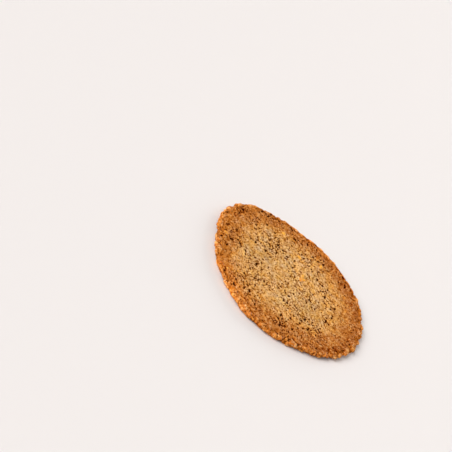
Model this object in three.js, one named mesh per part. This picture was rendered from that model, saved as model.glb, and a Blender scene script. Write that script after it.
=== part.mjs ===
// A thin round crisp biscuit of crumbly batter: a disc with a wavy, knobbly outline, a lightly
// lumpy top that rolls over at the rim, and an underside that is flat in the middle and lifts
// a little all round the edge. Millimetres, +Z up, origin on the table under its centre.

import * as THREE from "three";

const diameter = 70.6; // mean width of the biscuit
const crumbThickness = 2.6; // from the table to the top, away from the rim
const edgeHeight = 1.25; // how high the outermost line of the rim is
const topRollWidth = 2.8; // how far in from the edge the top starts to roll over
const topRollFullness = 2.6; // 2 is an ellipse, and more is squarer
const undersideRollWidth = 1.8;
const undersideRollFullness = 2.2;
const flatUndersideShare = 0.76; // of the radius: inside it the underside lies on the table
const edgeLift = 0.35; // how far the underside's edge stands off the table

// The outline's slow waves: how many round the edge, how high, and where the first crest is.
const outlineWaves = [
  { count: 2, height: 0.3, crestDegrees: 20 },
  { count: 3, height: 0.86, crestDegrees: 31 },
  { count: 4, height: 0.56, crestDegrees: 70 },
  { count: 6, height: 0.16, crestDegrees: 31 },
  { count: 8, height: 0.15, crestDegrees: 0 },
];
// A shallow bay where the batter ran out less far.
const outlineBay = { atDegrees: 102, depth: 0.9, widthDegrees: 5 };

// The plate's bend, which grows from nothing at the flat middle to this at the edge.
const bendWaves = [
  { count: 2, height: 0.16, crestDegrees: 30 },
  { count: 3, height: 0.12, crestDegrees: 200 },
];

const lumpSize = 4.2; // from one swell of the top to the next
const lumpHeight = 0.13;
const knobSize = 2.8; // from one knob of the rim to the next
const knobHeight = 0.42;

const topRings = 26; // ring k of the top has 6 k points
const rimRows = 6; // rows from the edge line up to the top
const undersideRows = 4; // rows from the edge line down to the flat middle

const meanRadius = diameter / 2;
const columns = 6 * topRings;

// The sum of cosine waves at an angle in radians.
function waveSum(waves, angle) {
  return waves.reduce((sum, wave) => {
    const crest = THREE.MathUtils.degToRad(wave.crestDegrees);
    return sum + wave.height * Math.cos(wave.count * (angle - crest));
  }, 0);
}

// The edge's distance from the middle, before the knobs.
function outlineRadius(angle) {
  const offBay = Math.atan2(
    Math.sin(angle - THREE.MathUtils.degToRad(outlineBay.atDegrees)),
    Math.cos(angle - THREE.MathUtils.degToRad(outlineBay.atDegrees)),
  );
  const widths = offBay / THREE.MathUtils.degToRad(outlineBay.widthDegrees);
  return meanRadius + waveSum(outlineWaves, angle) - outlineBay.depth * Math.exp(-widths * widths);
}

// A repeatable number from -1 to 1 for a lattice point.
function latticeValue(i, j, k) {
  const mixed = Math.sin(i * 127.1 + j * 311.7 + k * 74.7) * 43758.5453;
  return 2 * (mixed - Math.floor(mixed)) - 1;
}

// Smooth noise from -1 to 1: lattice values blended over each cube of the given size.
function smoothNoise(point, size) {
  const p = point.clone().divideScalar(size);
  const base = p.clone().floor();
  const t = p.clone().sub(base);
  const blend = [t.x, t.y, t.z].map((s) => s * s * (3 - 2 * s));
  let sum = 0;
  for (let corner = 0; corner < 8; corner++) {
    const [i, j, k] = [corner & 1, (corner >> 1) & 1, corner >> 2];
    const weight =
      (i ? blend[0] : 1 - blend[0]) * (j ? blend[1] : 1 - blend[1]) * (k ? blend[2] : 1 - blend[2]);
    sum += weight * latticeValue(base.x + i, base.y + j, base.z + k);
  }
  return sum;
}

// How far the bent plate stands off the table at a share of the radius.
function plateLift(share, angle) {
  const past = Math.max(0, (share - flatUndersideShare) / (1 - flatUndersideShare));
  return past * past * (edgeLift + waveSum(bendWaves, angle));
}

// A point of the top, a given share of the way from the middle to where the roll begins.
function topPoint(share, angle) {
  const radius = share * (outlineRadius(angle) - topRollWidth);
  const point = new THREE.Vector3(radius * Math.cos(angle), radius * Math.sin(angle), 0);
  const lump = lumpHeight * smoothNoise(point, lumpSize);
  point.z = crumbThickness + lump + plateLift(radius / outlineRadius(angle), angle);
  return point;
}

// A point of the rim. A turn of 90 degrees is the start of the top's roll, 0 is the edge line,
// and -90 is where the underside's roll meets the underside. Each quarter is a superellipse.
function rimPoint(turn, angle) {
  const above = turn >= 0;
  const fullness = above ? topRollFullness : undersideRollFullness;
  const width = above ? topRollWidth : undersideRollWidth;
  const height = above ? crumbThickness - edgeHeight : -edgeHeight;
  const outward = width * (1 - Math.cos(turn) ** (2 / fullness));
  const edge = outlineRadius(angle);
  const flatPoint = new THREE.Vector3(edge * Math.cos(angle), edge * Math.sin(angle), 0);
  flatPoint.z = edgeHeight + height * Math.abs(Math.sin(turn)) ** (2 / fullness);
  const knob = knobHeight * Math.cos(turn) * smoothNoise(flatPoint, knobSize);
  const radius = edge - outward + knob;
  const lumpFade = above ? Math.sin(turn) : 0;
  const point = new THREE.Vector3(radius * Math.cos(angle), radius * Math.sin(angle), 0);
  const lump = lumpFade * lumpHeight * smoothNoise(point, lumpSize);
  point.z = flatPoint.z + lump + plateLift(radius / edge, angle);
  return point;
}

// A point on the border of the flat middle of the underside.
function flatBorderPoint(angle) {
  const radius = flatUndersideShare * outlineRadius(angle);
  return new THREE.Vector3(radius * Math.cos(angle), radius * Math.sin(angle), 0);
}

function angleOf(column, count) {
  return (2 * Math.PI * column) / count;
}

// The rings of the whole skin, from the middle of the top to the border of the flat underside.
function skinRings() {
  const rings = [[topPoint(0, 0)]];
  for (let ring = 1; ring <= topRings; ring++) {
    const count = 6 * ring;
    rings.push(
      Array.from({ length: count }, (_, i) => topPoint(ring / topRings, angleOf(i, count))),
    );
  }
  const rimTurns = [];
  for (let row = rimRows - 1; row >= 0; row--) rimTurns.push(((row / rimRows) * Math.PI) / 2);
  for (let row = 1; row <= undersideRows; row++)
    rimTurns.push(((-row / undersideRows) * Math.PI) / 2);
  for (const turn of rimTurns)
    rings.push(Array.from({ length: columns }, (_, i) => rimPoint(turn, angleOf(i, columns))));
  rings.push(Array.from({ length: columns }, (_, i) => flatBorderPoint(angleOf(i, columns))));
  return rings;
}

// Joins two rings, each a sixth at a time, so that a ring can have one point more a sixth
// than the ring inside it.
function joinRings(inner, outer, triangles) {
  const sixths = 6;
  const innerStep = inner.count / sixths;
  const outerStep = outer.count / sixths;
  const innerAt = (i) => inner.start + (inner.count === 1 ? 0 : i % inner.count);
  const outerAt = (i) => outer.start + (i % outer.count);
  for (let sixth = 0; sixth < sixths; sixth++) {
    const innerFirst = inner.count === 1 ? 0 : sixth * innerStep;
    const outerFirst = sixth * outerStep;
    for (let i = 0; i < outerStep; i++) {
      const nearInner = inner.count === 1 ? 0 : innerFirst + i;
      triangles.push(innerAt(nearInner), outerAt(outerFirst + i), outerAt(outerFirst + i + 1));
      const more = inner.count === outer.count || i < outerStep - 1;
      if (inner.count > 1 && more)
        triangles.push(innerAt(nearInner), outerAt(outerFirst + i + 1), innerAt(nearInner + 1));
    }
  }
}

// Closes the skin with the flat middle of the underside, facing down.
function closeUnderside(border, start, triangles) {
  const outline = border.map((point) => new THREE.Vector2(point.x, point.y));
  for (const [a, b, c] of THREE.ShapeUtils.triangulateShape(outline, []))
    triangles.push(start + a, start + c, start + b);
}

function biscuitGeometry() {
  const rings = skinRings();
  const points = rings.flat();
  const triangles = [];
  let start = 0;
  for (let i = 0; i + 1 < rings.length; i++) {
    const next = start + rings[i].length;
    joinRings(
      { start, count: rings[i].length },
      { start: next, count: rings[i + 1].length },
      triangles,
    );
    start = next;
  }
  closeUnderside(rings.at(-1), start, triangles);
  const geometry = new THREE.BufferGeometry().setFromPoints(points);
  geometry.setIndex(triangles);
  // The waves and knobs leave the box a little off centre, so it is centred here.
  geometry.computeBoundingBox();
  const centre = geometry.boundingBox.getCenter(new THREE.Vector3());
  geometry.translate(-centre.x, -centre.y, -geometry.boundingBox.min.z);
  geometry.computeVertexNormals();
  return geometry;
}

const bakedCrumb = new THREE.MeshStandardMaterial({
  color: 0xc68f52,
  roughness: 0.72,
  metalness: 0,
});

const biscuit = new THREE.Mesh(biscuitGeometry(), bakedCrumb);
biscuit.name = "biscuit";

const crepeBiscuit = new THREE.Group();
crepeBiscuit.add(biscuit);

export default crepeBiscuit;
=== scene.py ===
import math
import time
import bpy
import numpy as np
from mathutils import Matrix, Vector


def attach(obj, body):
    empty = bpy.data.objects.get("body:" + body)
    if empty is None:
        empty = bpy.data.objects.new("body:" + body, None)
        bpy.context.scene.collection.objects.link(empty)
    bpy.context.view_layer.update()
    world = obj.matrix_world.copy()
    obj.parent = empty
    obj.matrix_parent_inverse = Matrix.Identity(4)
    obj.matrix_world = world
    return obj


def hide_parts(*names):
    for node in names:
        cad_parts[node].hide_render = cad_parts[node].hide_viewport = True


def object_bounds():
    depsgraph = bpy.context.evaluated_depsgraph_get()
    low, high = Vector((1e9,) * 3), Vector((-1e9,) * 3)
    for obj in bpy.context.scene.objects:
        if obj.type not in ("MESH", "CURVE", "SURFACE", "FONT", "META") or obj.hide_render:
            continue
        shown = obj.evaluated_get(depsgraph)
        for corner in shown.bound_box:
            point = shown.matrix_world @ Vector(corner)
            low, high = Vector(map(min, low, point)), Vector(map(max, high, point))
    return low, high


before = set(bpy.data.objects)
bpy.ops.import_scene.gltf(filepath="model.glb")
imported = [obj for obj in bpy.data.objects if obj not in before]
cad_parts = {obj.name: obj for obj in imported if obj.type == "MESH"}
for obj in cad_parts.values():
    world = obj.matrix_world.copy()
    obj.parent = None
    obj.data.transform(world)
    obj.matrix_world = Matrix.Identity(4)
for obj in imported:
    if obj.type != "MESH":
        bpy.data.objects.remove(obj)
cadLow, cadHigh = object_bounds()
startTime = time.perf_counter()
millimetre = 0.001


def report(stage):
    print(f"[{time.perf_counter() - startTime:5.1f} s] {stage}")


# A share from 0 to 1 that is always the same for the same lattice point: the whole numbers are
# multiplied by large primes and mixed by shifts.
def latticeShare(i, j, k, salt):
    with np.errstate(over="ignore"):
        mixed = (
            i.astype(np.uint32) * np.uint32(73856093)
            ^ j.astype(np.uint32) * np.uint32(19349663)
            ^ k.astype(np.uint32) * np.uint32(83492791)
            ^ np.uint32((salt * 2654435761) % 2**32)
        )
        mixed = (mixed ^ (mixed >> np.uint32(15))) * np.uint32(2246822519)
        mixed = (mixed ^ (mixed >> np.uint32(13))) * np.uint32(3266489917)
        mixed = mixed ^ (mixed >> np.uint32(16))
    return mixed.astype(np.float32) / np.float32(2**32)


# Smooth noise from -1 to 1: the eight corners of each cube, blended by 3t^2 - 2t^3.
def smoothNoise(points, size, salt):
    scaled = points / size
    base = np.floor(scaled)
    t = (scaled - base).astype(np.float32)
    t = t * t * (3 - 2 * t)
    i, j, k = (base[:, axis].astype(np.int64) for axis in range(3))
    total = np.zeros(len(points), np.float32)
    for corner in range(8):
        a, b, c = corner & 1, corner >> 1 & 1, corner >> 2
        alongX, alongY, alongZ = (t[:, axis] if on else 1 - t[:, axis] for axis, on in enumerate((a, b, c)))
        total += alongX * alongY * alongZ * latticeShare(i + a, j + b, k + c, salt)
    return total * 2 - 1


# Layers of smooth noise, each half the size and half the height of the one before. The sum is
# brought back to about -1 to 1.
def layeredNoise(points, size, salt, layers=3):
    total, height = np.zeros(len(points), np.float32), 1.0
    for layer in range(layers):
        total += height * smoothNoise(points, size / 2**layer, salt + layer)
        height *= 0.5
    return total / 1.5


# Smooth step from 0 to 1 as value goes from low to high.
def step(low, high, value):
    t = np.clip((value - low) / (high - low), 0, 1)
    return t * t * (3 - 2 * t)


# A smooth bump: 1 at nothing off, and e to the minus square of how many widths off elsewhere.
def bump(off, width):
    return np.exp(-((off / width) ** 2))


# How many degrees each angle is from a side of the biscuit, from -180 to 180.
def degreesOff(angle, side):
    return (np.degrees(angle) - side + 180) % 360 - 180


# The sum of round spots seen from above, each with its x, y, width and how much it adds.
def spotSum(places, spots):
    x, y = places[:, 0], places[:, 1]
    return sum(more * bump(np.hypot(x - spotX, y - spotY), width) for spotX, spotY, width, more in spots)


cameraSetting = {
    "elevation": 31.0,  # degrees above the biscuit's own plane
    "roll": 44.2,  # degrees that the picture is turned by
    "distance": 0.47,
    "lens": 100,
    "aside": (0.0229, -0.0208),  # of the biscuit from the middle of the view: right and up, metres
}


# The axes of a camera that looks along +Y from above and is turned about its own line of sight.
def cameraAxes(elevation, roll):
    rise, turn = math.radians(elevation), math.radians(roll)
    levelRight, levelUp = Vector((1, 0, 0)), Vector((0, math.sin(rise), math.cos(rise)))
    right = levelRight * math.cos(turn) + levelUp * math.sin(turn)
    up = levelUp * math.cos(turn) - levelRight * math.sin(turn)
    return right, up, right.cross(up)


def addCamera(setting, centre):
    right, up, back = cameraAxes(setting["elevation"], setting["roll"])
    data = bpy.data.cameras.new("camera")
    data.lens, data.sensor_width = setting["lens"], 36
    data.clip_start, data.clip_end = 0.02, 50
    camera = bpy.data.objects.new("camera", data)
    place = centre - right * setting["aside"][0] - up * setting["aside"][1] + back * setting["distance"]
    camera.matrix_world = Matrix.Translation(place) @ Matrix((right, up, back)).transposed().to_4x4()
    bpy.context.scene.collection.objects.link(camera)
    bpy.context.scene.camera = camera


lightSetting = {
    "window": {
        "azimuth": 228,  # degrees round from +X
        "elevation": 36,
        "width": 40,  # how many degrees wide it looks
        "strength": 3.5,
        "colour": (1.0, 0.975, 0.945),
    },
    "backWindow": {
        "azimuth": 66,
        "elevation": 12,
        "width": 40,
        "strength": 1.7,
        "colour": (1.0, 0.97, 0.93),
    },
    # the room's light at heights of the direction, from level to straight up
    "room": (
        (0.0, (0.92, 0.88, 0.85)),
        (0.1, (0.88, 0.83, 0.79)),
        (0.4, (0.37, 0.345, 0.32)),
        (1.0, (0.31, 0.29, 0.268)),
    ),
}


def addWindow(name, setting):
    data = bpy.data.lights.new(name, "SUN")
    data.angle = math.radians(setting["width"])
    data.energy = setting["strength"]
    data.color = setting["colour"]
    lamp = bpy.data.objects.new(name, data)
    around, rise = math.radians(setting["azimuth"]), math.radians(setting["elevation"])
    level = math.cos(rise)
    towards = Vector((math.cos(around) * level, math.sin(around) * level, math.sin(rise)))
    lamp.rotation_mode = "QUATERNION"
    lamp.rotation_quaternion = towards.to_track_quat("Z", "Y")
    bpy.context.scene.collection.objects.link(lamp)


# Makes a node of the given kind, with constants or links into its sockets by name or number.
def addNode(tree, kind, sockets, **options):
    node = tree.nodes.new(kind)
    for option, value in options.items():
        setattr(node, option, value)
    for socket, value in sockets.items():
        if isinstance(value, bpy.types.NodeSocket):
            tree.links.new(value, node.inputs[socket])
        else:
            node.inputs[socket].default_value = value
    return node


# A colour ramp through stops, each a place from 0 to 1 and a colour.
def addRamp(tree, value, stops):
    node = addNode(tree, "ShaderNodeValToRGB", {"Fac": value})
    elements = node.color_ramp.elements
    while len(elements) < len(stops):
        elements.new(0.5)
    for element, (place, colour) in zip(elements, stops):
        element.position, element.color = place, (*colour, 1)
    return node.outputs["Color"]


# The number that each vertex carries under a name.
def addField(tree, name):
    return addNode(tree, "ShaderNodeAttribute", {}, attribute_name=name).outputs["Fac"]


# Noise with patches of about the given size in millimetres.
def addNoise(tree, place, size, detail):
    sockets = {"Vector": place, "Scale": 1 / (size * millimetre), "Detail": detail}
    return addNode(tree, "ShaderNodeTexNoise", sockets).outputs["Fac"]


# Goes from colour a to colour b by a share, or to a times b where the kind is MULTIPLY.
def addMix(tree, share, a, b, kind="MIX"):
    node = addNode(tree, "ShaderNodeMix", {}, data_type="RGBA", blend_type=kind)
    for socket, value in (("Factor", share), ("A", a), ("B", b)):
        if isinstance(value, bpy.types.NodeSocket):
            tree.links.new(value, node.inputs[socket])
        else:
            node.inputs[socket].default_value = (*value, 1) if isinstance(value, tuple) else value
    return node.outputs["Result"]


# A new material with the finish's roughness and specular. Gives it, its nodes and its shader.
def startMaterial(name, finish):
    material = bpy.data.materials.new(name)
    material.use_nodes = True
    shader = material.node_tree.nodes["Principled BSDF"]
    shader.inputs["Roughness"].default_value = finish["roughness"]
    shader.inputs["Specular IOR Level"].default_value = finish["specular"]
    return material, material.node_tree, shader


# A pale room: bright round the walls and dimmer overhead.
def addRoom(stops):
    world = bpy.data.worlds.new("paleRoom")
    world.use_nodes = True
    tree = world.node_tree
    direction = addNode(tree, "ShaderNodeTexCoord", {}).outputs["Generated"]
    height = addNode(tree, "ShaderNodeSeparateXYZ", {0: direction}).outputs["Z"]
    tree.links.new(addRamp(tree, height, stops), tree.nodes["Background"].inputs["Color"])
    bpy.context.scene.world = world


floorSetting = {
    "halfWidth": 6.0,  # metres
    "colour": (0.79, 0.773, 0.785),
    "roughness": 0.8,
    "specular": 0.5,
}


def addFloor(name, setting):
    material, _, shader = startMaterial("paleTable", setting)
    shader.inputs["Base Color"].default_value = (*setting["colour"], 1)
    far = setting["halfWidth"]
    mesh = bpy.data.meshes.new(name)
    mesh.from_pydata([(-far, -far, 0), (far, -far, 0), (far, far, 0), (-far, far, 0)], [], [(0, 1, 2, 3)])
    mesh.materials.append(material)
    floor = bpy.data.objects.new(name, mesh)
    bpy.context.scene.collection.objects.link(floor)


addCamera(cameraSetting, (cadLow + cadHigh) / 2)
addWindow("windowLight", lightSetting["window"])
addWindow("backWindowLight", lightSetting["backWindow"])
addRoom(lightSetting["room"])
addFloor("paleFloor", floorSetting)
bpy.context.scene.view_settings.view_transform = "Standard"
report("camera, light and floor are set")

# The plain form that all of the crumb stands on, in millimetres.
biscuitForm = {
    "thickness": 2.5,
    "edgeHeight": 1.25,  # of the widest line of the rim
    "topRoll": (2.8, 2.6),  # width, and fullness: 2 is an ellipse and more is squarer
    "undersideRoll": (1.8, 2.2),
    "flatUnderside": 0.76,  # share of the radius that lies on the table
    "edgeLift": 0.35,
    "bends": ((2, 0.16, 30), (3, 0.12, 200)),  # waves of the lift round the edge: count, height, crest
    "outlineWaves": 24,  # how fine the outline is that is taken from the frame
    # how far in from the edge one piece of the crumb passes into the next
    "seams": {"middle": 14.2, "topRim": 3.7, "undersideRim": 3.2},
    "seamWander": (0.6, 3.0),  # how far a seam wanders, and over what length
    "tuck": (0.55, 0.8),  # how far a piece dips below its neighbour, and how soon past the seam
}


# The frame's outermost radius in narrow sectors, kept to its slow waves, as a function of the angle.
def frameOutline(node, waves):
    corners = np.empty(len(node.data.vertices) * 3, np.float32)
    node.data.vertices.foreach_get("co", corners)
    x, y, _ = corners.reshape(-1, 3).T / millimetre
    sectors = 144
    sector = np.floor((np.arctan2(y, x) / (2 * np.pi)) % 1 * sectors).astype(int) % sectors
    outermost = np.zeros(sectors)
    np.maximum.at(outermost, sector, np.hypot(x, y))
    spectrum = np.fft.rfft(outermost) / sectors
    spectrum[waves + 1:] = 0
    fine = 2048
    radii = np.fft.irfft(spectrum * fine, fine)
    angles = (np.arange(fine) / fine + 0.5 / sectors) * 2 * np.pi  # a sector stands for its middle
    return lambda angle: np.interp(angle % (2 * np.pi), angles, radii, period=2 * np.pi)


# The width, height and fullness of the roll above or below the edge line.
def rollOf(form, top):
    width, fullness = form["topRoll" if top else "undersideRoll"]
    height = form["thickness"] - form["edgeHeight"] if top else form["edgeHeight"]
    return width, height, fullness


# A quarter of a superellipse, from the flat to the edge line: way along it, outward and down.
def quarterRoll(width, height, fullness):
    turn = np.linspace(0, np.pi / 2, 400)
    outward = width * np.sin(turn) ** (2 / fullness)
    down = height * (1 - np.cos(turn) ** (2 / fullness))
    along = np.concatenate([[0], np.cumsum(np.hypot(np.diff(outward), np.diff(down)))])
    return along, outward, down


# How far the bent plate stands off the table: a square law past the flat middle.
def plateLift(radiusShare, angle, form):
    past = np.clip((radiusShare - form["flatUnderside"]) / (1 - form["flatUnderside"]), 0, None)
    lift = form["edgeLift"] + sum(h * np.cos(n * (angle - np.radians(c))) for n, h, c in form["bends"])
    return past * past * lift


# Points of the plain biscuit's top or underside. share is 0 in the middle and 1 on the edge line,
# measured along the skin: flat first and then down (or up) the roll. Gives places, outward
# directions and radii as shares of the edge's.
def plainSkin(form, outline, angle, share, top):
    edge = outline(angle)
    width, height, fullness = rollOf(form, top)
    along, outward, down = quarterRoll(width, height, fullness)
    flat = edge - width
    way = share * (flat + along[-1]) - flat
    onRoll = way > 0
    radius = flat + np.where(onRoll, np.interp(way, along, outward), way)
    drop = np.interp(way, along, down)
    leanOut = np.where(onRoll, np.interp(way, along, np.gradient(down, along)), 0)
    leanUp = np.where(onRoll, np.interp(way, along, np.gradient(outward, along)), 1)
    norm = np.hypot(leanOut, leanUp)
    leanOut, leanUp = leanOut / norm, leanUp / norm
    z = form["thickness"] - drop if top else drop
    z = z + plateLift(radius / edge, angle, form)
    cos, sin = np.cos(angle), np.sin(angle)
    places = np.stack([radius * cos, radius * sin, z], 1)
    outwards = np.stack([leanOut * cos, leanOut * sin, leanUp if top else -leanUp], 1)
    return places, outwards, radius / edge


# What stands on the plain form and what is sunk into it, in millimetres. The level is the middle
# of a layer's own values, so that it stands out as much as it sinks in.
crumbRelief = {
    "swell": {"height": 0.17, "size": 6.0, "level": 0.0},
    "lump": {"height": 0.17, "size": 2.6, "level": 0.0},
    "granule": {"height": 0.115, "size": 0.95, "level": 0.55},
    "fineGranule": {"height": 0.06, "size": 0.5, "level": 0.55},
    "grit": {"height": 0.035, "size": 0.26, "level": 0.0},
    "rimKnob": {"height": 1.8, "size": 2.9, "level": 0.78},
    "rimGranule": {"height": 0.42, "size": 1.1, "level": 0.72},
    "warp": {"height": 0.3, "size": 0.8},  # how far grains are pushed out of round
    "patchSize": 5.0,  # of patches with coarser or finer granules
    # hollows: the cell is what may hold one, and the wall starts at a share of the radius
    "pit": {"depth": 0.95, "cell": 1.4, "radii": (0.27, 0.56), "wallStart": 0.78},
    "pinhole": {"depth": 0.45, "cell": 0.85, "radii": (0.17, 0.31), "wallStart": 0.5},
    "rimBubble": {"depth": 0.7, "cell": 2.6, "radii": (0.45, 0.95), "wallStart": 0.35},
    "undersideBubble": {"depth": 0.35, "cell": 1.4, "radii": (0.15, 0.5), "wallStart": 0.5},
    "undersideBubbleShare": 0.65,  # of cells with one
    # share of cells with a pit: usually, how much that varies, and over what size
    "crowding": (0.37, 0.62, 6.5),
    # where pits crowd: x, y, width, and how much more of the cells
    "crowdedPits": (
        (-12.6, 5.6, 6.5, 0.5),
        (9.0, -2.3, 6.5, 0.5),
        (-26.5, -4.5, 4.0, 0.7),
    ),
    "lip": 0.24,  # how high the edge of the top stands
    # the rim's grains take over from the face's between these shares of the radius
    "topRim": (0.90, 0.96),
    "undersideRim": (0.88, 0.97),
    # sides in degrees round from +X, and how many degrees wide
    "calmSide": (88, 40),
    "bubblySide": (0, 50),
}


# Rounded grains packed side by side: each has a centre in its own cube of a lattice, a size and
# a height, and the field is the soft maximum of their round tops. Gives the field, and a tint
# from 0 to 1 that is the grain's own.
def grainField(points, size, salt, sharpness=14.0):
    scaled = (points / size).astype(np.float32)
    base = np.floor(scaled).astype(np.int64)
    total = np.full(len(points), 1e-6, np.float32)
    tinted = np.zeros(len(points), np.float32)
    for i in (-1, 0, 1):
        for j in (-1, 0, 1):
            for k in (-1, 0, 1):
                a, b, c = base[:, 0] + i, base[:, 1] + j, base[:, 2] + k
                dx = a + 0.12 + 0.76 * latticeShare(a, b, c, salt) - scaled[:, 0]
                dy = b + 0.12 + 0.76 * latticeShare(a, b, c, salt + 1) - scaled[:, 1]
                dz = c + 0.12 + 0.76 * latticeShare(a, b, c, salt + 2) - scaled[:, 2]
                width = 0.5 + 0.5 * latticeShare(a, b, c, salt + 3)
                dome = 1 - (dx * dx + dy * dy + dz * dz) / (width * width)
                weight = np.exp(sharpness * np.clip(dome, -1.0, None)).astype(np.float32)
                total += weight
                tinted += weight * latticeShare(a, b, c, salt + 4)
    return np.clip(np.log(total) / sharpness, -0.6, 1.1), tinted / total


# Hollows scattered over the plate, seen from above: some cells of a square lattice hold one. Each
# is a stretched round bowl with a steep wall. Gives 1 on a bowl's floor and 0 outside.
def hollowField(points, hollow, chance, salt):
    size, radii = hollow["cell"], hollow["radii"]
    ragged = 0.25  # how far its outline is from smooth
    scaled = points[:, :2] / size
    base = np.floor(scaled).astype(np.int64)
    zero = np.zeros(len(points), np.int64)
    wobble = 1 + ragged * smoothNoise(points, radii[1] * 0.7, salt + 9)
    deepest = np.zeros(len(points), np.float32)
    for i in (-1, 0, 1):
        for j in (-1, 0, 1):
            a, b = base[:, 0] + i, base[:, 1] + j
            present = latticeShare(a, b, zero, salt) < chance
            dx = a + 0.05 + 0.9 * latticeShare(a, b, zero, salt + 1) - scaled[:, 0]
            dy = b + 0.05 + 0.9 * latticeShare(a, b, zero, salt + 2) - scaled[:, 1]
            turn = latticeShare(a, b, zero, salt + 3) * np.pi
            stretch = 1 + latticeShare(a, b, zero, salt + 4) ** 2
            radius = radii[0] + (radii[1] - radii[0]) * latticeShare(a, b, zero, salt + 5) ** 1.4
            u = (dx * np.cos(turn) + dy * np.sin(turn)) / stretch
            v = dy * np.cos(turn) - dx * np.sin(turn)
            away = np.hypot(u, v) * size / radius * wobble
            bowl = np.where(present, 1 - step(hollow["wallStart"], 1.0, away), 0)
            deepest = np.maximum(deepest, bowl * (0.55 + 0.45 * latticeShare(a, b, zero, salt + 6)))
    return deepest


# The hollows of the top: pits and pinholes that crowd together in places, and open bubbles near
# the rim, most of them on one side. Gives how deep, in millimetres, and how dark, from 0 to 1: the darkness
# is painted shade in the pits, pinholes and bubbles.
def topHollows(places, upness, radiusShare, angle, relief):
    usual, varies, size = relief["crowding"]
    crowd = usual + varies * smoothNoise(places * [1, 1, 0], size, 77)
    crowd = crowd + spotSum(places, relief["crowdedPits"])
    pits = hollowField(places, relief["pit"], crowd, 300)
    pinholes = hollowField(places, relief["pinhole"], 0.16 + 0.55 * crowd, 320)
    bubblySide, width = relief["bubblySide"]
    bubbly = 0.12 + 0.45 * bump(degreesOff(angle, bubblySide), width)
    nearRim = step(0.84, 0.89, radiusShare) * (1 - step(0.95, 0.985, radiusShare))
    bubbles = hollowField(places, relief["rimBubble"], bubbly, 340) * nearRim
    depth = upness * (relief["pit"]["depth"] * pits + relief["pinhole"]["depth"] * pinholes)
    depth = depth + relief["rimBubble"]["depth"] * bubbles
    paintedPitShade = np.maximum(step(0.1, 0.35, pits), step(0.15, 0.5, pinholes))
    return depth, np.clip(upness * paintedPitShade + 0.75 * bubbles, 0, 1)


# Where the crumb is painted brighter or darker, with painted light round the rim, and where its crust turns
# to the edge's amber, a painted glow on the window-lit side.
# Sides are degrees round from +X, and a reach is two shares of the radius between which it sets in.
crumbShading = {
    # the amber is deepened on the side that faces the window light: a painted glow of that light through
    # the thin rim
    "amber": {"side": 195, "width": 50, "reach": (0.8, 0.9), "strength": 0.85},
    # round the rim, painted light: brighter where the walls face the window light (sides 180 and 243) and
    # on the far lip lit from behind (side 88): side, width in degrees, reach, and how much brighter
    "rim": (
        (88, 60, (0.9, 0.97), 0.33),
        (243, 20, (0.78, 0.9), 0.28),
        (180, 18, (0.88, 0.92), 0.16),
        (88, 22, (0.86, 0.9), 0.14),
    ),
    # on the face: x, y, width in millimetres, and how much brighter
    "face": (
        (0.0, 8.5, 4.5, 0.13),
        (-5.0, 6.5, 4.5, -0.13),
        (-14.0, -2.0, 6.0, -0.13),
        (13.0, -7.0, 5.0, -0.14),
    ),
}


# How bright the crumb is, about 1: the sum of the bumps round the rim, which are painted light, and the
# spots on the face.
def brightnessOf(places, radiusShare, angle, shading):
    brightness = 1 + spotSum(places, shading["face"])
    for side, width, reach, more in shading["rim"]:
        brightness = brightness + more * bump(degreesOff(angle, side), width) * step(*reach, radiusShare)
    return brightness
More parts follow.
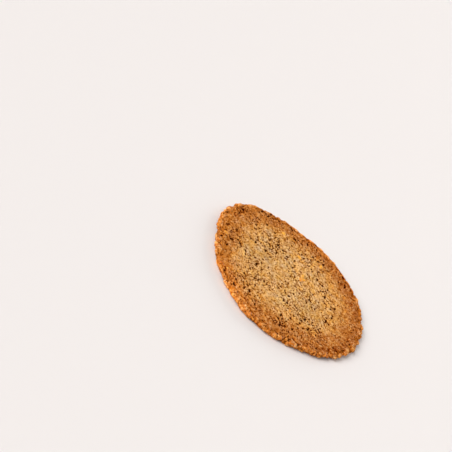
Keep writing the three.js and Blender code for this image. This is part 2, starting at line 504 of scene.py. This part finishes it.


# The crumb's relief over the plain skin, in millimetres outwards, and the facts for its finish:
# how hollow, which sets the painted shade of the hollows; how high among its neighbours, which
# sets the painted shade and highlight of the grains; the grain's own tint; how much of the edge's
# amber, partly a painted glow, each from 0 to 1; and a brightness of about 1 that carries painted
# light round the rim. The relief is the sum of packed grains of several sizes, with knobs round
# the rim, less the hollows.
def workCrumb(places, outwards, radiusShare, angle, relief, shading, top):
    def raised(layer, values):
        return relief[layer]["height"] * (values - relief[layer]["level"])

    upness = np.clip(outwards[:, 2] if top else -outwards[:, 2], 0, 1)
    side = 1 - upness
    onRim = step(*relief["topRim" if top else "undersideRim"], radiusShare)
    warp = [smoothNoise(places, relief["warp"]["size"], 40 + axis) for axis in range(3)]
    warped = places + np.stack(warp, 1) * relief["warp"]["height"]
    # fixed shifts keep the layers' lattices from lining up
    coarse, coarseTint = grainField(warped, relief["granule"]["size"], 100)
    fine, fineTint = grainField(warped + 17, relief["fineGranule"]["size"], 200)
    knob, _ = grainField(places + 40, relief["rimKnob"]["size"], 400, 12.0)
    rimGrain, rimTint = grainField(warped + 60, relief["rimGranule"]["size"], 430)
    lump = smoothNoise(warped, relief["lump"]["size"], 30)
    grit = smoothNoise(places, relief["grit"]["size"], 90)
    swell = raised("swell", layeredNoise(places, relief["swell"]["size"], 3, 3))
    patch = 0.5 + 0.5 * smoothNoise(places, relief["patchSize"], 60)
    # where the granules are coarse the fine ones are weak, and the rim has grains of its own
    out = raised("granule", coarse) * (0.75 + 0.6 * patch) * (1 - 0.6 * onRim)
    out = out + raised("fineGranule", fine) * (1.25 - 0.5 * patch)
    out = out + raised("grit", grit) + raised("lump", lump)
    calmSide, calmWidth = relief["calmSide"]
    calm = bump(degreesOff(angle, calmSide), calmWidth)
    knobs = raised("rimKnob", knob) * (0.3 + 0.7 * side) + raised("rimGranule", rimGrain)
    out = out + onRim * (1.15 - 0.65 * calm) * knobs
    if top:
        depth, hollow = topHollows(places, upness, radiusShare, angle, relief)
        lip = relief["lip"] * step(0.92, 0.965, radiusShare) * (1 - calm)
        out = out + swell * upness + lip * upness - depth
    else:
        # the underside was baked against a flat sheet: it is pressed smooth, with open bubbles
        bubble, chance = relief["undersideBubble"], relief["undersideBubbleShare"]
        # the bubbles' hollow also darkens them: painted shade
        hollow = hollowField(places, bubble, chance, 360) * upness
        out = out * (1 - 0.5 * upness) + 0.2 * swell * upness - bubble["depth"] * hollow
    grain = coarse * (1 - onRim) + rimGrain * onRim
    # the crest sets the painted shade and highlight of the grains
    crest = 0.5 + 0.6 * (grain - 0.5) + 0.6 * (fine - 0.5) + 0.45 * (knob - 0.6) * onRim
    crest = crest + 0.12 * lump + 0.1 * side
    # painted highlight on the knobs' tops and painted shade between them, where the edge's amber is painted
    # as a glow in the crevices
    paintedKnobLight = 0.45 * np.clip(knob - 0.66, -0.4, 0.3) + 0.25 * (rimGrain - 0.6)
    amber = shading["amber"]
    # painted glow on the window-lit side of the rim
    paintedGlowRing = bump(degreesOff(angle, amber["side"]), amber["width"]) * step(*amber["reach"], radiusShare)
    paintedGlowBetweenKnobs = onRim * (1 - step(0.25, 0.65, knob))
    facts = {
        "hollow": hollow,
        "crest": np.clip(crest, 0, 1),
        "tint": 0.6 * (coarseTint * (1 - onRim) + rimTint * onRim) + 0.4 * fineTint,
        "edge": np.maximum.reduce([step(0.02, 0.3, side), amber["strength"] * paintedGlowRing, paintedGlowBetweenKnobs]),
        "brightness": brightnessOf(places, radiusShare, angle, shading) * (1 + onRim * paintedKnobLight),
    }
    return out, facts


# Sides are degrees round from +X, and sizes are millimetres.
crumbBrowning = {
    # how brown at each share of the radius
    "profile": (
        (0.0, 0.0),
        (0.5, 0.07),
        (0.66, 0.22),
        (0.74, 0.44),
        (0.82, 0.75),
        (0.90, 0.81),
        (1.05, 0.80),
    ),
    # slow and quick unevenness: how much, as a share of the radius, and size
    "slow": (0.08, 9.0),
    "quick": (0.06, 1.4),
    # how much further in the brown reaches all over one half, and then round some sides:
    # side, width in degrees, and how much
    "lean": (335, 0.035),
    "reaches": ((177, 27, 0.08), (15, 30, -0.08)),
    # painted light: the crust is painted paler towards this side, which faces the window light, and browner
    # on the far side of it
    "paintedLitSide": 205,
    # on the rim: side, width in degrees, shares of the radius where it sets in, and how much browner; the
    # far lip at side 80 is painted paler, as painted light of the back window on the thin lip
    "rim": ((315, 30, (0.86, 0.93), 0.16), (80, 60, (0.925, 0.965), -0.3)),
}


# How brown each place is, from 0 to 1: the profile over the radius, pushed in or out by noise and
# by the side, and then multiplied by factors that are paler or darker on some sides: the paler window-lit
# side and far lip are painted light.
def browningOf(places, radiusShare, angle, setting):
    slow, slowSize = setting["slow"]
    quick, quickSize = setting["quick"]
    uneven = slow * layeredNoise(places, slowSize, 500, 4) + quick * smoothNoise(places, quickSize, 520)
    leanSide, lean = setting["lean"]
    reach = lean * np.cos(angle - np.radians(leanSide))
    for side, width, more in setting["reaches"]:
        reach = reach + more * bump(degreesOff(angle, side), width)
    radii, browns = zip(*setting["profile"])
    browned = np.interp(radiusShare * (1 + reach) + uneven, radii, browns)
    offLitSide = degreesOff(angle, setting["paintedLitSide"])
    browned = browned * (1 - 0.16 * np.cos(np.radians(offLitSide)) - 0.14 * bump(offLitSide, 38))
    for side, width, start, more in setting["rim"]:
        browned = browned * (1 + more * bump(degreesOff(angle, side), width) * step(*start, radiusShare))
    return browned


# Puts whole arrays into a mesh: places in millimetres, groups of faces of three or four corners,
# and fields with one number for each vertex.
def meshFromArrays(name, places, faceGroups, fields):
    mesh = bpy.data.meshes.new(name)
    corners = np.concatenate([group.ravel() for group in faceGroups])
    totals = np.concatenate([np.full(len(group), group.shape[1]) for group in faceGroups])
    mesh.vertices.add(len(places))
    mesh.vertices.foreach_set("co", (places * millimetre).astype(np.float32).ravel())
    mesh.loops.add(len(corners))
    mesh.loops.foreach_set("vertex_index", corners.astype(np.int32))
    mesh.polygons.add(len(totals))
    starts = np.concatenate([[0], np.cumsum(totals)[:-1]])
    mesh.polygons.foreach_set("loop_start", starts.astype(np.int32))
    mesh.polygons.foreach_set("use_smooth", np.ones(len(totals), bool))
    mesh.update(calc_edges=True)
    for field, values in fields.items():
        layer = mesh.attributes.new(field, "FLOAT", "POINT")
        layer.data.foreach_set("value", values.astype(np.float32))
    return mesh


# Makes a piece on body "root", thinned to so many triangles where its surface is calm. None
# keeps them all.
def addPiece(name, places, faceGroups, fields, trianglesKept, material):
    mesh = meshFromArrays(name, places, faceGroups, fields)
    triangles = sum(len(group) * (group.shape[1] - 2) for group in faceGroups)
    piece = bpy.data.objects.new(name, mesh)
    bpy.context.scene.collection.objects.link(piece)
    if trianglesKept and trianglesKept < triangles:
        thin = piece.modifiers.new("thin", "DECIMATE")
        thin.ratio = trianglesKept / triangles
        bpy.context.view_layer.update()
        evaluated = piece.evaluated_get(bpy.context.evaluated_depsgraph_get())
        thinned = bpy.data.meshes.new_from_object(evaluated)
        piece.modifiers.clear()
        piece.data = thinned
    piece.data.materials.append(material)
    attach(piece, "root")
    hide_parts("biscuit")
    report(f"{name}: {triangles} triangles worked out, {len(piece.data.polygons)} kept")
    return piece


# A square grid laid on a disc: the grid's square rings become circles, and the place along a
# square's side becomes the angle. Gives the share of the way out and the angle.
def squareOnDisc(steps):
    line = np.linspace(-1, 1, steps + 1)
    a, b = np.meshgrid(line, line, indexing="ij")
    share = np.maximum(np.abs(a), np.abs(b))
    safeA, safeB = np.where(a == 0, 1, a), np.where(b == 0, 1, b)
    sideways = np.where(a < 0, np.pi, 0) + np.pi / 4 * b / safeA
    upright = np.where(b < 0, np.pi, 0) + np.pi / 2 - np.pi / 4 * a / safeB
    return share.ravel(), np.where(np.abs(a) > np.abs(b), sideways, upright).ravel()


# Where the seam between two pieces of the crumb runs, in millimetres of radius. It wanders by
# noise that is read round a circle about as wide as the biscuit.
def seamRadius(form, outline, angle, seam):
    wander, length = form["seamWander"]
    circle = np.stack([np.cos(angle), np.sin(angle), np.zeros_like(angle)], 1) * 35
    return outline(angle) - form["seams"][seam] + wander * smoothNoise(circle, length, 600)


# The share of the skin at a radius in millimetres.
def shareAt(form, outline, angle, radius, top):
    width, height, fullness = rollOf(form, top)
    rollLength = quarterRoll(width, height, fullness)[0][-1]
    return radius / (outline(angle) - width + rollLength)


# The worked crumb at shares and angles of the skin. It dips by the tuck past the seam inside it
# and past the seam outside it, so that the neighbour covers it there.
def workedSkin(form, outline, angle, share, top, seamInside, seamOutside):
    plain, outwards, radiusShare = plainSkin(form, outline, angle, share, top)
    moved, facts = workCrumb(plain, outwards, radiusShare, angle, crumbRelief, crumbShading, top)
    radius = np.hypot(plain[:, 0], plain[:, 1])
    depth, width = form["tuck"]
    if seamInside:
        moved = moved - depth * step(0, width, seamRadius(form, outline, angle, seamInside) - radius)
    if seamOutside:
        moved = moved - depth * step(0, width, radius - seamRadius(form, outline, angle, seamOutside))
    places = plain + outwards * moved[:, None]
    places[:, 2] = np.maximum(places[:, 2], 0)
    facts["browning"] = browningOf(plain, radiusShare, angle, crumbBrowning)
    return places, facts


# The middle of a face as a closed lens: the crumb outside, and a plain back inside the biscuit.
def buildFace(name, setting, form, outline, material):
    top, steps, seam = setting["top"], setting["steps"], setting["seam"]
    share, angle = squareOnDisc(steps)
    border = seamRadius(form, outline, angle, seam) + setting["overlap"]
    reach = shareAt(form, outline, angle, border, top)
    places, facts = workedSkin(form, outline, angle, share * reach, top, None, seam)
    count = steps + 1
    ids = np.arange(count * count).reshape(count, count)
    quads = np.stack([ids[:-1, :-1], ids[1:, :-1], ids[1:, 1:], ids[:-1, 1:]], -1).reshape(-1, 4)
    outermost = np.concatenate([ids[:-1, 0], ids[-1, :-1], ids[:0:-1, -1], ids[0, :0:-1]])
    # the back is the outermost line again, a little further in at its own level, and a middle point
    back = places[outermost] * [1, 1, 0] * 0.985 + [0, 0, setting["backLevel"]]
    ring = np.arange(len(outermost)) + count * count
    wall = np.stack([outermost, ring, np.roll(ring, -1), np.roll(outermost, -1)], 1)
    cap = np.stack([ring, np.full(len(ring), len(places) + len(ring)), np.roll(ring, -1)], 1)
    groups = [quads, wall, cap]
    if not top:
        groups = [group[:, ::-1] for group in groups]
    places = np.concatenate([places, back, [[0, 0, setting["backLevel"]]]])
    unseen = np.full(len(back) + 1, 0.5)  # the back is hidden, so any middling facts do
    fields = {field: np.append(values, unseen) for field, values in facts.items()}
    return addPiece(name, places, groups, fields, setting["trianglesKept"], material)


# A closed ring of crumb: bands of the skin, one after the other from the inside of the top
# outwards and under, and back through the inside of the biscuit.
def buildRing(name, setting, form, outline, material):
    columns, overlap = setting["columns"], setting["overlap"]
    around = np.arange(columns) / columns * 2 * np.pi
    layers, fields = [], {}
    for top, rows, start, end in setting["bands"]:
        ends = []
        for seam, way in ((start, -1), (end, 1 if top else -1)):
            seamLine = seamRadius(form, outline, around, seam) + way * overlap if seam else None
            ends.append(shareAt(form, outline, around, seamLine, top) if seam else np.ones(columns))
        way = np.linspace(0, 1, rows)[0 if start else 1:, None]
        share = ends[0] + (ends[1] - ends[0]) * way
        angle = np.broadcast_to(around, share.shape).ravel()
        inside, outside = (start, end) if top else (end, start)
        placed, facts = workedSkin(form, outline, angle, share.ravel(), top, inside, outside)
        layers.append(placed)
        for field, values in facts.items():
            fields.setdefault(field, []).append(values)
    for inFromEdge, level in setting["back"]:
        radius = outline(around) - inFromEdge
        x, y = radius * np.cos(around), radius * np.sin(around)
        layers.append(np.stack([x, y, np.full(columns, level)], 1))
        for values in fields.values():
            values.append(np.full(columns, 0.5))
    places = np.concatenate(layers)
    fields = {field: np.concatenate(values) for field, values in fields.items()}
    ids = np.arange(len(places)).reshape(-1, columns)
    below, right = np.roll(ids, -1, 0), np.roll(ids, -1, 1)
    quads = np.stack([ids, below, np.roll(below, -1, 1), right], -1).reshape(-1, 4)
    return addPiece(name, places, [quads], fields, setting["trianglesKept"], material)


# So many lists of shares from 0 to 1, with one share for each lump, the same every run.
def drawnShares(count, lists, row, salt):
    number, still = np.arange(count), np.zeros(count, int)
    return [latticeShare(number, still + row, still, salt + k) for k in range(lists)]


# Small rough lumps half sunk in the top, all as one mesh. Each is a ball of rows and columns whose
# radius is changed by smooth noise, pressed flatter, and turned to stand on the skin.
def buildLumps(name, setting, form, outline, material, shares, angles, radii):
    _, outwards, _ = plainSkin(form, outline, angles, shares, True)
    placed, _ = workedSkin(form, outline, angles, shares, True, None, None)
    rows, columns = setting["rows"], setting["columns"]
    polar = np.linspace(0, np.pi, rows)[1:-1, None]
    around = np.arange(columns) / columns * 2 * np.pi
    x, y = np.sin(polar) * np.cos(around), np.sin(polar) * np.sin(around)
    ball = np.stack([x, y, np.broadcast_to(np.cos(polar), x.shape)], -1).reshape(-1, 3)
    ball = np.concatenate([[[0, 0, 1]], ball, [[0, 0, -1]]])
    count, corners = len(shares), len(ball)
    number = np.arange(count)
    stretches, turns, tints = drawnShares(count, 3, 0, setting["salt"])
    # each lump reads the noise in a place of its own, 7.3 from the next
    apart = np.repeat(number * 7.3, corners)[:, None] + np.tile(ball, (count, 1))
    rough = 1 + setting["roughness"] * smoothNoise(apart, 0.9, setting["salt"] + 9)
    stretch = 0.75 + 0.5 * stretches
    sizes = radii[:, None] * np.stack([stretch, 1 / stretch, np.full(count, setting["flatness"])], 1)
    local = ball[None] * rough.reshape(count, corners, 1) * sizes[:, None, :]
    # the lump's own directions: two along the skin and one outwards
    turn = (turns * 2 * np.pi)[:, None]
    sideways = np.stack([-np.sin(angles), np.cos(angles), np.zeros(count)], 1)
    across = np.cross(outwards, sideways)
    first = sideways * np.cos(turn) + across * np.sin(turn)
    second = np.cross(outwards, first)
    centre = placed - outwards * (radii * setting["flatness"] * setting["sunk"])[:, None]
    axes = np.stack([first, second, outwards], 1)
    places = (centre[:, None, :] + np.einsum("nvk,nkd->nvd", local, axes)).reshape(-1, 3)
    places[:, 2] = np.maximum(places[:, 2], 0)
    ids = 1 + np.arange((rows - 2) * columns).reshape(rows - 2, columns)
    right = np.roll(ids, -1, 1)
    quads = np.stack([ids[:-1], ids[1:], right[1:], right[:-1]], -1).reshape(-1, 4)
    cap = np.stack([np.zeros(columns, int), ids[0], right[0]], 1)
    foot = np.stack([np.full(columns, corners - 1), right[-1], ids[-1]], 1)
    shift = (number * corners)[:, None, None]
    groups = [(group[None] + shift).reshape(-1, group.shape[1]) for group in (quads, cap, foot)]
    fields = {"tint": np.repeat(tints, corners), "height": np.tile(ball[:, 2], count) * 0.5 + 0.5}
    return addPiece(name, places, groups, fields, None, material)


crumbFinish = {
    # colours by browning, from the pale middle to the rim
    "browned": (
        (0.0, (0.725, 0.412, 0.150)),
        (0.3, (0.645, 0.306, 0.085)),
        (0.6, (0.55, 0.216, 0.052)),
        (0.85, (0.485, 0.172, 0.037)),
        (1.0, (0.385, 0.118, 0.023)),
    ),
    # greyish patches in the middle: their share is slope times noise of this size plus offset,
    # less the browning times lostToBrown
    "pale": (0.70, 0.45, 0.205),
    "paleShare": {"size": 4.2, "slope": 3.4, "offset": -1.5, "lostToBrown": 2.2, "most": 0.65},
    # the steep outside of the rim; the same colour is also painted as a glow of window light through the
    # thin rim on its lit side and between the knobs
    "edge": (0.48, 0.150, 0.014),
    "edgeShare": 0.8,
    # the highest crests, partly paler crumb and partly painted highlight: their share is slope times the
    # height among neighbours plus offset
    "cream": (0.79, 0.50, 0.22),
    "creamShare": {"slope": 1.3, "offset": -0.82, "most": 0.5},
    # painted shade in the grooves and painted highlight on the crests of the grains: factors on the colour,
    # from the grooves to the crests
    "paintedShadeByHeight": (
        (0.0, (0.44, 0.28, 0.10)),
        (0.35, (0.84, 0.76, 0.60)),
        (0.58, (1.0, 1.0, 1.0)),
        (1.0, (1.07, 1.14, 1.28)),
    ),
    # from greyish spots to amber ones
    "byHue": ((0.25, (0.95, 0.99, 1.20)), (0.5, (1.0, 1.0, 1.0)), (0.75, (1.06, 1.0, 0.76))),
    "hueSize": 2.6,
    # by each grain's own tint
    "byTint": ((0.0, (0.77, 0.70, 0.55)), (0.5, (1.0, 1.0, 1.0)), (1.0, (1.14, 1.20, 1.34))),
    # by a fine speckle
    "bySpeckle": ((0.25, (0.76, 0.70, 0.57)), (0.5, (1.0, 1.0, 1.0)), (0.75, (1.12, 1.17, 1.28))),
    "speckleSize": 0.42,
    # painted shade, from a hollow's lip to its near-black floor
    "paintedShadeByHollow": (
        (0.0, (1.0, 1.0, 1.0)),
        (0.3, (0.56, 0.31, 0.11)),
        (0.6, (0.165, 0.063, 0.018)),
        (1.0, (0.065, 0.024, 0.007)),
    ),
    # painted pinpricks, the shade of holes too fine to be modelled: slope times the distance from one plus
    # offset
    "pinprick": {"spacing": 0.9, "slope": -9.0, "offset": 2.4, "most": 0.9},
    "roughness": 0.6,
    "specular": 0.0,
}


# Baked crumb: a colour by browning, with pale patches, an amber edge that is partly a painted glow
# and creamy crests that are partly painted highlight mixed in, and then multiplied by the factors of
# the finish, among them painted shade in the grooves and hollows, and by the brightness that the
# mesh carries, with its painted light round the rim.
def crumbMaterial(name, finish):
    material, tree, shader = startMaterial(name, finish)

    def calculate(operation, a, b, c=0.0):
        return addNode(tree, "ShaderNodeMath", {0: a, 1: b, 2: c}, operation=operation).outputs[0]

    def onLine(value, line):
        return calculate("MULTIPLY_ADD", value, line["slope"], line["offset"])

    def limited(value, most):
        return addNode(tree, "ShaderNodeClamp", {"Value": value, "Min": 0.0, "Max": most}).outputs[0]

    place = addNode(tree, "ShaderNodeTexCoord", {}).outputs["Object"]
    # the speckle and the pinpricks read a shifted place, so that they don't follow the patches
    shifted = addNode(tree, "ShaderNodeVectorMath", {0: place, 1: (0.05, 0.03, 0.07)}).outputs[0]
    browning, crest = addField(tree, "browning"), addField(tree, "crest")
    pale, cream, pinprick = finish["paleShare"], finish["creamShare"], finish["pinprick"]

    colour = addRamp(tree, browning, finish["browned"])
    lost = calculate("MULTIPLY", browning, pale["lostToBrown"])
    paleness = calculate("SUBTRACT", onLine(addNoise(tree, place, pale["size"], 0.6), pale), lost)
    colour = addMix(tree, limited(paleness, pale["most"]), colour, finish["pale"])
    edge = calculate("MULTIPLY", addField(tree, "edge"), finish["edgeShare"])
    colour = addMix(tree, edge, colour, finish["edge"])
    colour = addMix(tree, 1.0, colour, addRamp(tree, crest, finish["paintedShadeByHeight"]), "MULTIPLY")
    creamy = limited(onLine(crest, cream), cream["most"])
    colour = addMix(tree, creamy, colour, finish["cream"])

    sockets = {"Vector": shifted, "Scale": 1 / (pinprick["spacing"] * millimetre)}
    away = addNode(tree, "ShaderNodeTexVoronoi", sockets).outputs["Distance"]
    pinprickShade = limited(onLine(away, pinprick), pinprick["most"])
    factors = (
        addRamp(tree, addNoise(tree, place, finish["hueSize"], 0.0), finish["byHue"]),
        addRamp(tree, addField(tree, "tint"), finish["byTint"]),
        addRamp(tree, addNoise(tree, shifted, finish["speckleSize"], 1.0), finish["bySpeckle"]),
        addField(tree, "brightness"),
        addRamp(tree, calculate("MAXIMUM", addField(tree, "hollow"), pinprickShade), finish["paintedShadeByHollow"]),
    )
    for factor in factors:
        colour = addMix(tree, 1.0, colour, factor, "MULTIPLY")
    tree.links.new(colour, shader.inputs["Base Color"])
    return material


# Amber sugar, and the browned lumps of the rim: a colour by each lump's own tint, darker towards
# its foot as painted shade where it sinks into the crumb, and mottled.
def amberMaterial(name, finish):
    material, tree, shader = startMaterial(name, finish)
    place = addNode(tree, "ShaderNodeTexCoord", {}).outputs["Object"]
    colour = addRamp(tree, addField(tree, "tint"), finish["tones"])
    shade = addRamp(tree, addField(tree, "height"), finish["paintedShadeByHeight"])
    mottle = addRamp(tree, addNoise(tree, place, finish["mottleSize"], 2.0), finish["mottle"])
    for factor in (shade, mottle):
        colour = addMix(tree, 1.0, colour, factor, "MULTIPLY")
    tree.links.new(colour, shader.inputs["Base Color"])
    return material


outline = frameOutline(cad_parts["biscuit"], biscuitForm["outlineWaves"])
bakedCrumb = crumbMaterial("bakedCrumb", crumbFinish)

middleCrumb = {
    "top": True,
    "steps": 600,
    "seam": "middle",
    "overlap": 1.0,
    "backLevel": 1.1,
    "trianglesKept": 198000,
}
outerCrumb = {
    "columns": 1700,
    # each band: on the top or not, rows, and the seams where it starts and ends
    "bands": ((True, 120, "middle", "topRim"),),
    "overlap": 1.0,
    "back": ((3.2, 1.1), (14.8, 1.1)),  # in from the edge, and height
    "trianglesKept": 198000,
}
rimCrumb = {
    "columns": 1500,
    "bands": ((True, 72, "topRim", None), (False, 56, None, "undersideRim")),  # None is the edge line
    "overlap": 1.3,
    "back": ((7.0, 0.9), (7.0, 1.7)),
    "trianglesKept": 198000,
}
undersideCrumb = {
    "top": False,
    "steps": 380,
    "seam": "undersideRim",
    "overlap": 1.0,
    "backLevel": 1.3,
    "trianglesKept": 110000,
}
buildFace("middleCrumb", middleCrumb, biscuitForm, outline, bakedCrumb)
buildRing("outerCrumb", outerCrumb, biscuitForm, outline, bakedCrumb)
buildRing("rimCrumb", rimCrumb, biscuitForm, outline, bakedCrumb)
buildFace("undersideCrumb", undersideCrumb, biscuitForm, outline, bakedCrumb)

# millimetres; the roughness, flatness and sinking are shares of a fleck's radius
amberFlecks = {
    # the bigger ones: x, y and radius
    "placed": (
        (3.4, 6.3, 0.95),
        (4.0, 7.7, 1.2),
        (3.3, 9.2, 0.85),
        (-2.0, 17.7, 0.9),
        (-12.7, 22.6, 1.0),
        (-26.9, -3.2, 1.0),
        (-28.8, -6.8, 1.0),
        (6.9, 24.0, 1.05),
        (12.5, -4.0, 0.6),
    ),
    "scattered": 46,
    "reach": 32,  # how far out the scattered ones lie
    "radii": (0.2, 0.5),
    "rows": 9,
    "columns": 13,
    "salt": 900,
    "roughness": 0.55,
    "flatness": 0.55,
    "sunk": 0.45,
}
amberFinish = {
    "tones": ((0.0, (0.74, 0.28, 0.028)), (0.5, (0.82, 0.36, 0.040)), (1.0, (0.85, 0.45, 0.080))),
    "paintedShadeByHeight": ((0.0, (0.6, 0.5, 0.4)), (0.75, (1.0, 1.0, 1.0))),
    "mottle": ((0.35, (0.74, 0.62, 0.45)), (0.65, (1.06, 1.1, 1.2))),
    "mottleSize": 0.4,
    "roughness": 0.38,
    "specular": 0.08,
}


# Radii between two limits, with far more small ones than big ones.
def scatteredRadii(limits, shares):
    low, high = limits
    return low + (high - low) * shares**2


# The placed flecks and the scattered ones, which lie evenly over a disc.
def buildFlecks(name, setting, form, outline, material):
    around, outward, size = drawnShares(setting["scattered"], 3, 5, setting["salt"] + 20)
    x, y, radii = np.array(setting["placed"]).T
    angles = np.concatenate([np.arctan2(y, x), around * 2 * np.pi])
    distances = np.concatenate([np.hypot(x, y), setting["reach"] * np.sqrt(outward)])
    radii = np.concatenate([radii, scatteredRadii(setting["radii"], size)])
    shares = shareAt(form, outline, angles, distances, True)
    return buildLumps(name, setting, form, outline, material, shares, angles, radii)


rimLumps = {
    "count": 260,
    "from": 150,  # degrees round from +X
    "to": 345,
    "innermost": 0.94,  # share of the way out to the edge line
    "radii": (0.3, 0.75),
    "rows": 8,
    "columns": 12,
    "salt": 950,
    "roughness": 0.35,
    "flatness": 0.65,
    "sunk": 0.55,
}
rimLumpFinish = {
    "tones": ((0.0, (0.47, 0.132, 0.012)), (0.6, (0.57, 0.18, 0.020)), (1.0, (0.70, 0.29, 0.060))),
    "paintedShadeByHeight": ((0.0, (0.6, 0.45, 0.3)), (0.75, (1.0, 1.0, 1.0))),
    "mottle": ((0.35, (0.75, 0.65, 0.5)), (0.65, (1.12, 1.15, 1.2))),
    "mottleSize": 0.4,
    "roughness": 0.4,
    "specular": 0.15,
}


# Lumps along the upper side of the rim, between two sides of the biscuit.
def buildRimLumps(name, setting, form, outline, material):
    around, outward, size = drawnShares(setting["count"], 3, 9, setting["salt"] + 20)
    angles = np.radians(setting["from"] + (setting["to"] - setting["from"]) * around)
    shares = setting["innermost"] + (1 - setting["innermost"]) * outward
    radii = scatteredRadii(setting["radii"], size)
    return buildLumps(name, setting, form, outline, material, shares, angles, radii)


buildFlecks("amberFlecks", amberFlecks, biscuitForm, outline, amberMaterial("amberSugar", amberFinish))
buildRimLumps("rimLumps", rimLumps, biscuitForm, outline, amberMaterial("brownedLump", rimLumpFinish))
